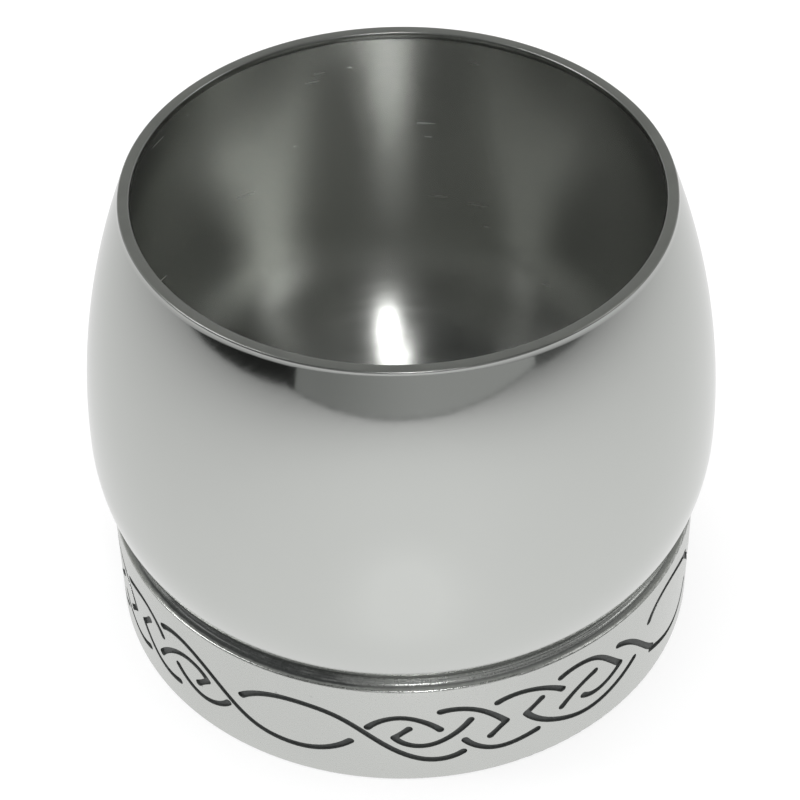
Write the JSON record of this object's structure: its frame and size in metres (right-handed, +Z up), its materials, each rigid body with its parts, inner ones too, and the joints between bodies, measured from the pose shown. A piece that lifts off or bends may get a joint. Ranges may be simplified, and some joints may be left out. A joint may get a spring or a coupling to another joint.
{
  "type": "stemless communion cup",
  "caption": "Low barrel-shaped metal cup on a wide foot band with an interlace cut round it, for communion wine.",
  "frame": {"origin": "centre of the foot's standing face, on the cup's axis", "axes": "+Z up along the cup's axis; -Y is the front, opposite the foot band's seam side"},
  "size_m": [0.087, 0.087, 0.07],
  "materials": {
    "bowl_metal": "polished pewter outside, satin turned inside",
    "band_metal": "satin pewter with blackened grooves",
    "base_metal": "turned satin pewter",
    "solder": "filed solder, darkened in its hollows"
  },
  "bodies": {
    "root": {"bowl": "bowl_metal", "foot_band": "band_metal", "base_plate": "base_metal", "band_seam_solder": "solder", "bowl_joint_solder": "solder", "base_joint_solder": "solder"}
  },
  "joints": []
}
